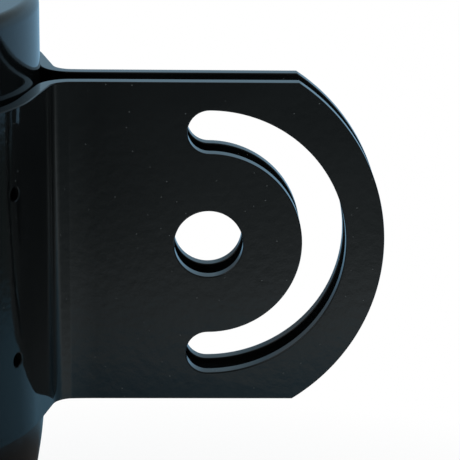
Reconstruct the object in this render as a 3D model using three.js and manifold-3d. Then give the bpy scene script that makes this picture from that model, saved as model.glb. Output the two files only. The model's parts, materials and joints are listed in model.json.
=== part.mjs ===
// Post anchor spike: a drive-in cone under a round driving head, with a two-piece clamp
// round the head. Each clamp half ends in an ear with a pivot hole and a half-circle slot,
// and a post fitting is bolted between the two ears.
//
// Frame: millimetres, +Z up. The finished part's origin is the centre of the head's flat top.
// The heights below are measured from the level of the pivot hole, which is the clamp's middle,
// and the whole group is lowered at the end. The ears point along +X and the clamp bolts sit
// on the -X side.

import * as THREE from 'three';
import { mergeVertices } from 'three/addons/utils/BufferGeometryUtils.js';
import Module from 'manifold-3d';

// ---------------------------------------------------------------- driving dimensions

const HEAD_RADIUS = 57.15;            // 114.3 mm tube
const HEAD_WALL = 3.6;
const HEAD_TOP_Z = 59.5;
const HEAD_TOP_THICKNESS = 4;
const HEAD_SHOULDER_RADIUS = 3;
const HEAD_BOTTOM_Z = -30;            // the seam with the cone is hidden under the clamp

const SEAM_GAP = 0.3;                 // between welded or seated neighbours
const SLEEVE_WALL = 4;
const SLEEVE_TOP_Z = 5;
const SLEEVE_BOTTOM_Z = -42;

const CONE_START_Z = -47.7;           // where the neck's line and the taper's line cross
const CONE_END_Z = -300;
const CONE_TAPER = 0.163;             // radius lost per millimetre of depth, 9.3 degrees a side
const CONE_SHOULDER_RADIUS = 100;     // the neck runs into the taper along this arc
const CONE_WALL = 3;
const POINT_TIP_Z = -346;
const POINT_TIP_RADIUS = 2.5;
const POINT_SHOULDER_DEPTH = 4;
const POINT_SPIGOT_LENGTH = 22;

const FIN_THICKNESS = 4;
const FIN_TOP_Z = -84;
const FIN_BOTTOM_Z = -292;
const FIN_OUTER_RADIUS = 74;
const FIN_OUTER_TOP_Z = -98;
const FIN_OUTER_BOTTOM_Z = -168;
const FIN_TOE_WIDTH = 2.5;
const FIN_ANGLES = { fin_rear_right: 45, fin_rear_left: 135, fin_front_left: 225, fin_front_right: 315 };

const SHEET = 3.2;                    // clamp sheet
const EAR_GAP = 6.6;                  // between the inner faces of the two ears
const CLAMP_HEIGHT = 80;
const FLAT_CLEARANCE = 0.25;          // between the head and the flats next to the bends
const BAND_CLEARANCE = 1.45;          // between the head and the rest of the band
const BEND_RADIUS = 5;                // on the outer face of the sheet
const FLAT_ANGLE = 14.3;              // the way the flat next to a bend faces, from the X axis
const FOLD_RADIUS = 30;               // between a flat and the band, on the outer face

const PIVOT_X = 97.5;
const PIVOT_HOLE_RADIUS = 8.3;
const SLOT_PATH_RADIUS = 27.85;
const SLOT_WIDTH = 10.6;
const EAR_END_RADIUS = 48;
const EAR_END_CENTRE_X = PIVOT_X - 5.6;

const PILOT_HOLE_RADIUS = 1.6;
const PILOT_HOLE_HEIGHT = 20;
const PILOT_HOLE_ANGLE = 30.8;        // from the +X axis, round the head

const FLANGE_REACH = 101;
const FLANGE_CORNER_RADIUS = 9;
const BOLT_X = -84;
const BOLT_HEIGHTS = { upper: 22, lower: -22 };
const BOLT_HOLE_RADIUS = 5.5;

const BOLT_RADIUS = 4.9;              // M10
const BOLT_HEAD_HEIGHT = 6.4;
const BOLT_ACROSS_FLATS = 16;
const BOLT_END_CHAMFER = 1;
const SHANK_ROOT = 1;                 // how far the shank is sunk into the head
const HEX_CHAMFER_ANGLE = 30;
const NUT_HEIGHT = 8.4;
const NUT_BORE_RADIUS = 5.2;
const WASHER_RADIUS = 10;
const WASHER_BORE_RADIUS = 5.4;
const WASHER_THICKNESS = 2;
const SPRING_WASHER_RADIUS = 8.6;
const SPRING_WASHER_THICKNESS = 2.6;
const SPRING_WASHER_SPLIT_DEGREES = 14;
const THREAD_PITCH = 1.5;
const NUT_TURNS_OFF = 3;              // turns of nut still on the bolt when the clamp is open
const STACK_GAP = 0.1;                // between the pieces stacked on a clamp bolt

const RING_SEGMENTS = 80;             // round the head, cone and sleeve
const ARC_SEGMENTS = 24;              // along each arc of a sheet outline
const SMALL_SEGMENTS = 24;            // round the point, washers, bolts and drilled holes
const SHOULDER_STEPS = 5;
const CONE_SHOULDER_STEPS = 4;
const CUT_MARGIN = 10;                // how far a cutting solid runs past what it cuts

// ---------------------------------------------------------------- solids

const manifold = await Module();
manifold.setup();

// A solid for joining and cutting, from a closed three.js geometry.
function toSolid(geometry) {
  const bare = geometry.clone();
  bare.deleteAttribute('normal');
  bare.deleteAttribute('uv');
  const merged = mergeVertices(bare, 1e-4);
  return new manifold.Manifold(new manifold.Mesh({
    numProp: 3,
    vertProperties: new Float32Array(merged.attributes.position.array),
    triVerts: new Uint32Array(merged.index.array),
  }));
}

function toGeometry(solid) {
  const mesh = solid.getMesh();
  const geometry = new THREE.BufferGeometry();
  geometry.setAttribute('position', new THREE.BufferAttribute(mesh.vertProperties, 3));
  geometry.setIndex(new THREE.BufferAttribute(mesh.triVerts, 1));
  geometry.computeVertexNormals();
  return geometry;
}

const radians = THREE.MathUtils.degToRad;
const point = (x, y) => new THREE.Vector2(x, y);

// A body of revolution about +Z, from (radius, height) points.
function revolve(points, segments) {
  return new THREE.LatheGeometry(points, segments).rotateX(Math.PI / 2);
}

// A plan outline in X and Y, raised along +Z.
function raise(shape, bottom, top) {
  const options = { depth: top - bottom, bevelEnabled: false, curveSegments: ARC_SEGMENTS };
  return new THREE.ExtrudeGeometry(shape, options).translate(0, 0, bottom);
}

// A side outline in X and Z, spread along Y.
function spread(shape, nearY, farY) {
  const options = { depth: farY - nearY, bevelEnabled: false, curveSegments: ARC_SEGMENTS };
  return new THREE.ExtrudeGeometry(shape, options).rotateX(Math.PI / 2).translate(0, farY, 0);
}

// ---------------------------------------------------------------- materials

const blackPaint = { color: 0x14181c, roughness: 0.22, metalness: 0.1 };
const spikePaint = { color: 0x1c1c1a, roughness: 0.4, metalness: 0.1 };
const bareSteel = { color: 0x55575a, roughness: 0.5, metalness: 0.9 };
const zincPlate = { color: 0xa9adb0, roughness: 0.35, metalness: 0.9 };

function piece(name, geometry, finish) {
  const mesh = new THREE.Mesh(geometry, new THREE.MeshStandardMaterial(finish));
  mesh.name = name;
  return mesh;
}

// ---------------------------------------------------------------- driving head and sleeve

// A cup with a flat closed top, a rounded shoulder and an open mouth below.
function headShell() {
  const innerRadius = HEAD_RADIUS - HEAD_WALL;
  const arcRadius = HEAD_RADIUS - HEAD_SHOULDER_RADIUS;
  const arcZ = HEAD_TOP_Z - HEAD_SHOULDER_RADIUS;
  const profile = [point(0, HEAD_TOP_Z - HEAD_TOP_THICKNESS)];
  profile.push(point(innerRadius, HEAD_TOP_Z - HEAD_TOP_THICKNESS));
  profile.push(point(innerRadius, HEAD_BOTTOM_Z));
  profile.push(point(HEAD_RADIUS, HEAD_BOTTOM_Z));
  for (let step = 0; step <= SHOULDER_STEPS; step += 1) {
    const angle = (step / SHOULDER_STEPS) * Math.PI / 2;
    const radius = arcRadius + HEAD_SHOULDER_RADIUS * Math.cos(angle);
    profile.push(point(radius, arcZ + HEAD_SHOULDER_RADIUS * Math.sin(angle)));
  }
  profile.push(point(0, HEAD_TOP_Z));
  return revolve(profile, RING_SEGMENTS);
}

// Carries the head and the cone in line, inside both.
function jointSleeve() {
  const outerRadius = HEAD_RADIUS - HEAD_WALL - SEAM_GAP;
  const innerRadius = outerRadius - SLEEVE_WALL;
  const profile = [
    point(innerRadius, SLEEVE_BOTTOM_Z),
    point(outerRadius, SLEEVE_BOTTOM_Z),
    point(outerRadius, SLEEVE_TOP_Z),
    point(innerRadius, SLEEVE_TOP_Z),
    point(innerRadius, SLEEVE_BOTTOM_Z),
  ];
  return revolve(profile, RING_SEGMENTS);
}

// ---------------------------------------------------------------- spike

function coneRadius(z) {
  return HEAD_RADIUS - CONE_TAPER * (CONE_START_Z - z);
}

// The arc from the taper up to the neck, at a depth below the cone's outer face.
function coneShoulder(depth) {
  const taper = Math.atan(CONE_TAPER);
  const topZ = CONE_START_Z + CONE_SHOULDER_RADIUS * Math.tan(taper / 2);
  const radius = CONE_SHOULDER_RADIUS - depth;
  const points = [];
  for (let step = 0; step <= CONE_SHOULDER_STEPS; step += 1) {
    const angle = taper * (1 - step / CONE_SHOULDER_STEPS);
    const inset = CONE_SHOULDER_RADIUS - radius * Math.cos(angle);
    points.push(point(HEAD_RADIUS - inset, topZ - radius * Math.sin(angle)));
  }
  return points;
}

// A tapered shell, open at both ends, with a straight neck that meets the head.
function spikeCone() {
  const neckTopZ = HEAD_BOTTOM_Z - SEAM_GAP;
  const profile = [
    point(coneRadius(CONE_END_Z) - CONE_WALL, CONE_END_Z),
    point(coneRadius(CONE_END_Z), CONE_END_Z),
    ...coneShoulder(0),
    point(HEAD_RADIUS, neckTopZ),
    point(HEAD_RADIUS - HEAD_WALL, neckTopZ),
    ...coneShoulder(HEAD_WALL).reverse(),
    point(coneRadius(CONE_END_Z) - CONE_WALL, CONE_END_Z),
  ];
  return revolve(profile, RING_SEGMENTS);
}

// A solid forged tip whose spigot sits inside the lower end of the cone.
function spikePoint() {
  const shoulderZ = CONE_END_Z - SEAM_GAP;
  const shoulderRadius = coneRadius(CONE_END_Z);
  const spigotRadius = shoulderRadius - CONE_WALL - SEAM_GAP;
  const profile = [
    point(0, POINT_TIP_Z),
    point(POINT_TIP_RADIUS, POINT_TIP_Z + POINT_TIP_RADIUS / 2),
    point(shoulderRadius, shoulderZ - POINT_SHOULDER_DEPTH),
    point(shoulderRadius, shoulderZ),
    point(spigotRadius, shoulderZ),
    point(spigotRadius, shoulderZ + POINT_SPIGOT_LENGTH),
    point(0, shoulderZ + POINT_SPIGOT_LENGTH),
  ];
  return revolve(profile, SMALL_SEGMENTS);
}

// A flat blade standing out from the cone; it stops the anchor turning in the ground.
function fin() {
  const outline = new THREE.Shape();
  outline.moveTo(coneRadius(FIN_TOP_Z) + SEAM_GAP, FIN_TOP_Z);
  outline.lineTo(FIN_OUTER_RADIUS, FIN_OUTER_TOP_Z);
  outline.lineTo(FIN_OUTER_RADIUS, FIN_OUTER_BOTTOM_Z);
  outline.lineTo(coneRadius(FIN_BOTTOM_Z) + FIN_TOE_WIDTH, FIN_BOTTOM_Z);
  outline.lineTo(coneRadius(FIN_BOTTOM_Z) + SEAM_GAP, FIN_BOTTOM_Z);
  outline.closePath();
  return spread(outline, -FIN_THICKNESS / 2, FIN_THICKNESS / 2);
}

// ---------------------------------------------------------------- clamp halves

const flatReach = HEAD_RADIUS + FLAT_CLEARANCE + SHEET;
const bandOuterRadius = HEAD_RADIUS + BAND_CLEARANCE + SHEET;
const bandInnerRadius = bandOuterRadius - SHEET;
const earInnerY = EAR_GAP / 2;
const earOuterY = earInnerY + SHEET;
const earTipX = EAR_END_CENTRE_X + EAR_END_RADIUS;

// The clamp half seen from above, one sheet thick: ear, bend, flat, fold, half band, and then
// fold, flat, bend and flange.
function clampPlan() {
  const flat = radians(FLAT_ANGLE);
  const bendY = earOuterY + BEND_RADIUS;
  const bendX = (flatReach + BEND_RADIUS - bendY * Math.sin(flat)) / Math.cos(flat);
  const innerBend = BEND_RADIUS + SHEET;
  const foldReach = bandOuterRadius - FOLD_RADIUS;
  const bandStart = flat + Math.acos((flatReach - FOLD_RADIUS) / foldReach);
  const foldX = foldReach * Math.cos(bandStart);
  const foldY = foldReach * Math.sin(bandStart);
  const innerFold = FOLD_RADIUS - SHEET;
  const down = -Math.PI / 2;
  const plan = new THREE.Shape();
  plan.moveTo(earTipX, earInnerY);
  plan.lineTo(bendX, earInnerY);
  plan.absarc(bendX, bendY, innerBend, down, flat - Math.PI, true);
  plan.absarc(foldX, foldY, innerFold, flat, bandStart, false);
  plan.absarc(0, 0, bandInnerRadius, bandStart, Math.PI - bandStart, false);
  plan.absarc(-foldX, foldY, innerFold, Math.PI - bandStart, Math.PI - flat, false);
  plan.absarc(-bendX, bendY, innerBend, -flat, down, true);
  plan.lineTo(-FLANGE_REACH, earInnerY);
  plan.lineTo(-FLANGE_REACH, earOuterY);
  plan.lineTo(-bendX, earOuterY);
  plan.absarc(-bendX, bendY, BEND_RADIUS, down, -flat, false);
  plan.absarc(-foldX, foldY, FOLD_RADIUS, Math.PI - flat, Math.PI - bandStart, true);
  plan.absarc(0, 0, bandOuterRadius, Math.PI - bandStart, bandStart, true);
  plan.absarc(foldX, foldY, FOLD_RADIUS, bandStart, flat, true);
  plan.absarc(bendX, bendY, BEND_RADIUS, flat - Math.PI, down, false);
  plan.lineTo(earTipX, earOuterY);
  plan.closePath();
  return plan;
}

// A half circle of even width round the pivot, with round ends above and below it.
function slotPath() {
  const quarter = Math.PI / 2;
  const endRadius = SLOT_WIDTH / 2;
  const slot = new THREE.Path();
  slot.absarc(PIVOT_X, 0, SLOT_PATH_RADIUS + endRadius, -quarter, quarter, false);
  slot.absarc(PIVOT_X, SLOT_PATH_RADIUS, endRadius, quarter, 3 * quarter, false);
  slot.absarc(PIVOT_X, 0, SLOT_PATH_RADIUS - endRadius, quarter, -quarter, true);
  slot.absarc(PIVOT_X, -SLOT_PATH_RADIUS, endRadius, quarter, -quarter, false);
  return slot;
}

function roundHole(x, z, radius) {
  const hole = new THREE.Path();
  hole.absarc(x, z, radius, 0, 2 * Math.PI, false);
  return hole;
}

// The clamp half seen from the side, with every opening that runs along Y.
function clampSide() {
  const half = CLAMP_HEIGHT / 2;
  const cornerX = FLANGE_CORNER_RADIUS - FLANGE_REACH;
  const cornerZ = half - FLANGE_CORNER_RADIUS;
  const endAngle = Math.asin(half / EAR_END_RADIUS);
  const side = new THREE.Shape();
  side.absarc(EAR_END_CENTRE_X, 0, EAR_END_RADIUS, -endAngle, endAngle, false);
  side.absarc(cornerX, cornerZ, FLANGE_CORNER_RADIUS, Math.PI / 2, Math.PI, false);
  side.absarc(cornerX, -cornerZ, FLANGE_CORNER_RADIUS, Math.PI, 1.5 * Math.PI, false);
  side.closePath();
  side.holes.push(roundHole(PIVOT_X, 0, PIVOT_HOLE_RADIUS));
  side.holes.push(slotPath());
  for (const height of Object.values(BOLT_HEIGHTS)) {
    side.holes.push(roundHole(BOLT_X, height, BOLT_HOLE_RADIUS));
  }
  return side;
}

// A drill standing out from the axis at the pilot holes' angle.
function pilotDrill(height) {
  const reach = bandOuterRadius + CUT_MARGIN;
  return new THREE.CylinderGeometry(PILOT_HOLE_RADIUS, PILOT_HOLE_RADIUS, reach, SMALL_SEGMENTS)
    .translate(0, reach / 2, 0)
    .rotateZ(radians(PILOT_HOLE_ANGLE - 90))
    .translate(0, 0, height);
}

// The rear half. The front half is the same piece turned over about X.
function clampHalf() {
  const half = CLAMP_HEIGHT / 2;
  const bent = toSolid(raise(clampPlan(), -half, half));
  const outline = toSolid(spread(clampSide(), -CUT_MARGIN, bandOuterRadius + CUT_MARGIN));
  let solid = bent.intersect(outline);
  for (const height of [PILOT_HOLE_HEIGHT, -PILOT_HOLE_HEIGHT]) {
    solid = solid.subtract(toSolid(pilotDrill(height)));
  }
  return toGeometry(solid);
}

// ---------------------------------------------------------------- clamp fasteners

// A hexagonal prism along +Z with its corners turned down at the far end, or at both ends.
function hexBlank(height, chamferBothEnds) {
  const cornerRadius = BOLT_ACROSS_FLATS / Math.sqrt(3);
  const flatRadius = BOLT_ACROSS_FLATS / 2;
  const envelope = cornerRadius + 1;
  const chamferDepth = (envelope - flatRadius) * Math.tan(radians(HEX_CHAMFER_ANGLE));
  const nearEnd = [point(0, 0), point(envelope, 0)];
  if (chamferBothEnds) {
    nearEnd.splice(1, 1, point(flatRadius, 0), point(envelope, chamferDepth));
  }
  const farEnd = [point(envelope, height - chamferDepth), point(flatRadius, height), point(0, height)];
  const turned = toSolid(revolve([...nearEnd, ...farEnd], SMALL_SEGMENTS));
  const hex = toSolid(new THREE.CylinderGeometry(cornerRadius, cornerRadius, height, 6)
    .rotateX(Math.PI / 2)
    .translate(0, 0, height / 2));
  return hex.intersect(turned);
}

// A hexagon bolt with its head's underside at Z = 0 and its shank along -Z.
function bolt(length) {
  const shank = toSolid(revolve([
    point(0, -length),
    point(BOLT_RADIUS - BOLT_END_CHAMFER, -length),
    point(BOLT_RADIUS, -length + BOLT_END_CHAMFER),
    point(BOLT_RADIUS, SHANK_ROOT),
    point(0, SHANK_ROOT),
  ], SMALL_SEGMENTS));
  return toGeometry(hexBlank(BOLT_HEAD_HEIGHT, false).add(shank));
}

function nut() {
  const bore = new THREE.CylinderGeometry(
    NUT_BORE_RADIUS, NUT_BORE_RADIUS, NUT_HEIGHT + CUT_MARGIN, SMALL_SEGMENTS,
  ).rotateX(Math.PI / 2).translate(0, 0, NUT_HEIGHT / 2);
  return toGeometry(hexBlank(NUT_HEIGHT, true).subtract(toSolid(bore)));
}

function washer() {
  return revolve([
    point(WASHER_BORE_RADIUS, 0),
    point(WASHER_RADIUS, 0),
    point(WASHER_RADIUS, WASHER_THICKNESS),
    point(WASHER_BORE_RADIUS, WASHER_THICKNESS),
    point(WASHER_BORE_RADIUS, 0),
  ], SMALL_SEGMENTS);
}

// A ring with one narrow split, pressed flat.
function springWasher() {
  const halfSplit = radians(SPRING_WASHER_SPLIT_DEGREES / 2);
  const ring = new THREE.Shape();
  ring.absarc(0, 0, SPRING_WASHER_RADIUS, halfSplit, 2 * Math.PI - halfSplit, false);
  ring.absarc(0, 0, WASHER_BORE_RADIUS, 2 * Math.PI - halfSplit, halfSplit, true);
  ring.closePath();
  return raise(ring, 0, SPRING_WASHER_THICKNESS);
}

// ---------------------------------------------------------------- assembly

const anchor = new THREE.Group();
anchor.add(piece('head_shell', headShell(), blackPaint));
anchor.add(piece('joint_sleeve', jointSleeve(), bareSteel));
anchor.add(piece('spike_cone', spikeCone(), spikePaint));
anchor.add(piece('spike_point', spikePoint(), spikePaint));
for (const [name, degrees] of Object.entries(FIN_ANGLES)) {
  const blade = piece(name, fin(), spikePaint);
  blade.rotation.z = radians(degrees);
  anchor.add(blade);
}

const clamp = new THREE.Group();
clamp.add(piece('rear_clamp_half', clampHalf(), blackPaint));
const frontHalf = piece('front_clamp_half', clampHalf(), blackPaint);
frontHalf.rotation.x = Math.PI;
clamp.add(frontHalf);

// Distances from the clamp's mid-plane to the pieces stacked outward on each side.
const headWasherY = earOuterY + STACK_GAP;
const headY = headWasherY + WASHER_THICKNESS + STACK_GAP;
const springWasherY = headWasherY + WASHER_THICKNESS + STACK_GAP;
const nutY = springWasherY + SPRING_WASHER_THICKNESS + STACK_GAP;
const boltLength = headY + nutY + NUT_HEIGHT + NUT_TURNS_OFF * THREAD_PITCH;

// Puts a piece modelled along +Z on a clamp bolt's axis, facing rearward or frontward.
function stack(mesh, height, distance, facing) {
  mesh.rotation.x = -facing * Math.PI / 2;
  mesh.position.set(BOLT_X, facing * distance, height);
  clamp.add(mesh);
}

const REARWARD = 1;
const FRONTWARD = -1;
for (const [place, height] of Object.entries(BOLT_HEIGHTS)) {
  stack(piece(`clamp_bolt_${place}`, bolt(boltLength), zincPlate), height, headY, REARWARD);
  stack(piece(`bolt_washer_${place}`, washer(), zincPlate), height, headWasherY, REARWARD);
  stack(piece(`nut_washer_${place}`, washer(), zincPlate), height, headWasherY, FRONTWARD);
  const spring = piece(`spring_washer_${place}`, springWasher(), zincPlate);
  stack(spring, height, springWasherY, FRONTWARD);
  stack(piece(`clamp_nut_${place}`, nut(), zincPlate), height, nutY, FRONTWARD);
}

const postAnchorSpike = new THREE.Group();
postAnchorSpike.add(anchor, clamp);
postAnchorSpike.position.z = -HEAD_TOP_Z;

export default postAnchorSpike;
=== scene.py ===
"""Post anchor spike: fine meshes, procedural materials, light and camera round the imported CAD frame.

Units are metres and the axes are the CAD frame's: +Z up, +X towards the ears, -Y the front.
Every mesh but the welds takes the place of the CAD node that it is named after, at the node's size.
The inner sleeve keeps its CAD mesh.
"""

import json
import math

import bmesh
import bpy
from mathutils import Matrix, Vector


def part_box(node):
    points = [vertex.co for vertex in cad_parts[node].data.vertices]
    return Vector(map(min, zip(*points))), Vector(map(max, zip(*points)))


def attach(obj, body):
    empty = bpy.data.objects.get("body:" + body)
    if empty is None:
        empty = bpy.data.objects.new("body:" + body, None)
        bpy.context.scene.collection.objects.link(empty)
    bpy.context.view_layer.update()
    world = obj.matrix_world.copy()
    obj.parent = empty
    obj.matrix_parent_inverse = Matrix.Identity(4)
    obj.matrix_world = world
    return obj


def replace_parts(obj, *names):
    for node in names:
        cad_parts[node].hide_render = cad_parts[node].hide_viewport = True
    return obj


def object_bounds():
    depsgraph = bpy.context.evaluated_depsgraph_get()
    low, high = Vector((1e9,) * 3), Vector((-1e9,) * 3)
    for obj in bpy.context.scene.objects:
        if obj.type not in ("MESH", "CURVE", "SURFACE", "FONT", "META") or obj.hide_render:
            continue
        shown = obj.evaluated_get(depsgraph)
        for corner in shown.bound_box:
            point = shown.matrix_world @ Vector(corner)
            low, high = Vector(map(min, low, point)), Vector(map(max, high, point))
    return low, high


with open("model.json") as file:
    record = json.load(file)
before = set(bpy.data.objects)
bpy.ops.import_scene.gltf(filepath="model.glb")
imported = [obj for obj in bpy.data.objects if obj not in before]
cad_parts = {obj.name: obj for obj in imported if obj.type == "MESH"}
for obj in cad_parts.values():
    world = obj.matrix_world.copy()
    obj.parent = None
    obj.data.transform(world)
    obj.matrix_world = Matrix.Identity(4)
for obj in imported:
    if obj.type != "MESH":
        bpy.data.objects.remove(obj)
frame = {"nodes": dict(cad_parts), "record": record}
cad_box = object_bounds()

MM = 0.001

# ------------------------------------------------------------------ sizes read from the frame

record = frame["record"]
mounts = {mount["name"]: Vector(mount["pos_m"]) for mount in record["mounts"]}
bodies = record["behaviour"]["bodies"]
BODY_OF = {node: body for body, members in bodies.items() for node in members}

clamp_low, clamp_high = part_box("front_clamp_half")
head_low, head_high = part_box("head_shell")
cone_low, cone_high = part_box("spike_cone")
point_low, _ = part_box("spike_point")
washer_low, washer_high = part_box("bolt_washer_upper")
nut_low, nut_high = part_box("clamp_nut_upper")
spring_low, spring_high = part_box("spring_washer_upper")
bolt_low, bolt_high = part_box("clamp_bolt_upper")

PIVOT_Z = mounts["rear_ear_face"].z
EAR_OUTER_Y = mounts["rear_ear_face"].y
SHEET = EAR_OUTER_Y - mounts["rear_ear_inner_face"].y
CLAMP_HALF_HEIGHT = (clamp_high.z - clamp_low.z) / 2
BAND_RADIUS = -clamp_low.y
EAR_TIP_X = clamp_high.x
FLANGE_TIP_X = clamp_low.x
HEAD_RADIUS = head_high.x
CONE_END_Z = cone_low.z
BOLT_X = (washer_low.x + washer_high.x) / 2
BOLT_HEIGHT = (washer_low.z + washer_high.z) / 2 - PIVOT_Z

# ------------------------------------------------------------------ sizes of the details

BEND_RADIUS = 5 * MM                  # on the outer face of the sheet
FLAT_ANGLE = math.radians(14.3)       # the way the flat next to a bend faces, from the X axis
FLAT_CLEARANCE = 0.25 * MM            # between the head and that flat
FOLD_RADIUS = 30 * MM                 # between a flat and the band, on the outer face
PIVOT_X = 97.5 * MM
PIVOT_HOLE_RADIUS = 8.3 * MM
SLOT_PATH_RADIUS = 27.85 * MM
SLOT_HALF_WIDTH = 5.3 * MM
EAR_END_RADIUS = 48 * MM
FLANGE_CORNER_RADIUS = 9 * MM
BOLT_HOLE_RADIUS = 5.5 * MM
PILOT_HOLE_RADIUS = 1.6 * MM
PILOT_HOLE_HEIGHT = 20 * MM
PILOT_HOLE_ANGLE = math.radians(30.8)  # from the X axis, round the head
SHEET_EDGE_ROUND = 0.3 * MM
SHEET_CUT_TOLERANCE = 1e-7

# The ear's last few millimetres turn a little, as a pressed sheet does beside a sharp bend.
EASE_LENGTH = 6 * MM
EASE_TURN = math.radians(-3)

HEAD_WALL = 3.6 * MM
HEAD_TOP_THICKNESS = 4 * MM
HEAD_SHOULDER_RADIUS = 3 * MM
CONE_START_Z = PIVOT_Z - 47.7 * MM    # where the neck's line and the taper's line cross
CONE_TAPER = 0.163                    # radius lost per metre of depth
CONE_SHOULDER_RADIUS = 100 * MM
CONE_WALL = 3 * MM
EDGE_ROUND = 0.5 * MM
POINT_TIP_RADIUS = 2.5 * MM
POINT_SHOULDER_DEPTH = 4 * MM
POINT_SPIGOT_LENGTH = 22 * MM
SEAM_GAP = 0.3 * MM                   # between the cone and the point

FIN_THICKNESS = 4 * MM
FIN_TOP_Z = PIVOT_Z - 84 * MM
FIN_BOTTOM_Z = PIVOT_Z - 292 * MM
FIN_OUTER_RADIUS = 74 * MM
FIN_OUTER_TOP_Z = PIVOT_Z - 98 * MM
FIN_OUTER_BOTTOM_Z = PIVOT_Z - 168 * MM
FIN_TOE_WIDTH = 2.5 * MM              # how far the lower end stands out from the cone
FIN_EDGE_ROUND = 0.8 * MM
FIN_CORNER_ROUND = 1.2 * MM
FIN_ROOT_DEPTH = 0.4 * MM             # how far the root is sunk into the cone
FIN_ANGLES = {"fin_rear_right": 45, "fin_rear_left": 135, "fin_front_left": 225, "fin_front_right": 315}

WELD_RADIUS = 2.2 * MM
WELD_RIPPLE_LENGTH = 1.7 * MM
WELD_RIPPLE_DEPTH = 0.16              # of the bead's radius
WELD_RINGS_PER_RIPPLE = 5
WELD_SIDES = 12
WELD_SUNK_SHARE = 1 / 3               # of its radius, how deep the middle of the point's bead lies
STITCH_COUNT = 3
STITCH_LENGTH = 38 * MM

BOLT_HEAD_HEIGHT = 6.4 * MM
HEX_FLAT_RADIUS = 8 * MM
HEX_CORNER_ROUND = 0.5 * MM
HEX_CHAMFER_SLOPE = math.tan(math.radians(30))
HEX_FACE_SHARE = 0.95                 # of the way from the middle to a flat
HEX_FLAT_CUTS = 8
HARD_EDGE_ANGLE = math.radians(25)
HARD_EDGE_ROUND = 0.15 * MM
NUT_BORE_RADIUS = 5.2 * MM
THREAD_RADIUS = 4.9 * MM
THREAD_PITCH = 1.5 * MM
THREAD_DEPTH = 0.85 * MM
THREAD_ROWS_PER_TURN = 12
THREAD_SIDES = 48
THREAD_FLAT_SHARE = 1 / 6             # of the pitch, at the crest and again at the root
SHANK_ROOT = 1 * MM                   # how far the shank is sunk into the bolt's head
WASHER_RADIUS = 10 * MM
WASHER_BORE_RADIUS = 5.4 * MM
WASHER_EDGE_ROUND = 0.35 * MM
SPRING_WASHER_RADIUS = 8.6 * MM
SPRING_WASHER_SPLIT = math.radians(14)

# How finely the round shapes are cut.
LATHE_SEGMENTS = 192
POINT_SEGMENTS = 96
WASHER_SEGMENTS = 72
ROUNDING_STEPS = 6
HEAD_ROUNDING_STEPS = 12
CONE_ROUNDING_STEPS = 8
SMALL_ROUNDING_STEPS = 4
EAR_POINTS = 97
SLOT_INNER_POINTS = 73
SLOT_END_POINTS = 25
CORNER_POINTS = 13
PIVOT_HOLE_POINTS = 96
BOLT_HOLE_POINTS = 64
PILOT_HOLE_POINTS = 32
SPLIT_RING_POINTS = 73


def arc(centre_x, centre_y, radius, start, end, count):
    """Points along an arc, both ends included."""
    angles = [start + (end - start) * i / (count - 1) for i in range(count)]
    return [(centre_x + radius * math.cos(a), centre_y + radius * math.sin(a)) for a in angles]


# ------------------------------------------------------------------ mesh helpers


def face_outward(bm):
    """Turns every face of a closed mesh outward."""
    bmesh.ops.recalc_face_normals(bm, faces=bm.faces)
    if bm.calc_volume(signed=True) < 0:
        bmesh.ops.reverse_faces(bm, faces=bm.faces)


def area_weighted_normals(bm):
    """A normal for each vertex in which large faces count for more, so that flat faces shade flat."""
    bm.normal_update()
    normals = []
    for vertex in bm.verts:
        total = Vector((0, 0, 0))
        for face in vertex.link_faces:
            total += face.normal * face.calc_area()
        normals.append(total.normalized())
    return normals


def make_piece(name, bm, body, material, normals=None):
    """Turns a bmesh into a smooth-shaded piece that rides on a CAD body."""
    face_outward(bm)
    if normals is None:
        normals = area_weighted_normals(bm)
    mesh = bpy.data.meshes.new(name)
    bm.to_mesh(mesh)
    bm.free()
    mesh.shade_smooth()
    mesh.normals_split_custom_set_from_vertices(normals)
    mesh.materials.append(material)
    piece = bpy.data.objects.new(name, mesh)
    bpy.context.scene.collection.objects.link(piece)
    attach(piece, body)
    return piece


def stand_in(node, bm, material, normals=None):
    """A fine mesh that is shown in place of one CAD node."""
    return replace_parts(make_piece(node + "_mesh", bm, BODY_OF[node], material, normals), node)


def join_rings(bm, ring_a, ring_b):
    """Quads between two closed rings of the same length."""
    for i, start in enumerate(ring_a):
        bm.faces.new((ring_a[i - 1], start, ring_b[i], ring_b[i - 1]))


def fan(bm, hub, ring):
    """Triangles from one vertex to a closed ring."""
    for i, start in enumerate(ring):
        bm.faces.new((hub, ring[i - 1], start))


def lathe(profile, segments=LATHE_SEGMENTS):
    """A body of revolution about Z from a loop of (radius, z) points. Two points may be on the axis."""
    bm = bmesh.new()
    rings = []
    for radius, z in profile:
        count = segments if radius > 0 else 1
        turns = [2 * math.pi * i / count for i in range(count)]
        rings.append([bm.verts.new((radius * math.cos(a), radius * math.sin(a), z)) for a in turns])
    for ring_a, ring_b in zip(rings, rings[1:] + rings[:1]):
        if len(ring_a) == len(ring_b) == segments:
            join_rings(bm, ring_a, ring_b)
        elif len(ring_a) > 1 or len(ring_b) > 1:
            hub, rim = sorted((ring_a, ring_b), key=len)
            fan(bm, hub[0], rim)
    return bm


def rounded_loop(corners, steps=ROUNDING_STEPS):
    """A loop of points in which each corner (x, y, rounding) is replaced by an arc."""
    loop = []
    for i, (x, y, rounding) in enumerate(corners):
        if rounding == 0:
            loop.append((x, y))
            continue
        here = Vector((x, y))
        before = (Vector(corners[i - 1][:2]) - here).normalized()
        after = (Vector(corners[(i + 1) % len(corners)][:2]) - here).normalized()
        half_angle = before.angle(after) / 2
        start = here + before * rounding / math.tan(half_angle)
        end = here + after * rounding / math.tan(half_angle)
        centre = here + (before + after).normalized() * rounding / math.sin(half_angle)
        for step in range(steps + 1):
            spoke = start.lerp(end, step / steps) - centre
            loop.append(tuple(centre + spoke.normalized() * rounding))
    return loop


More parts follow.
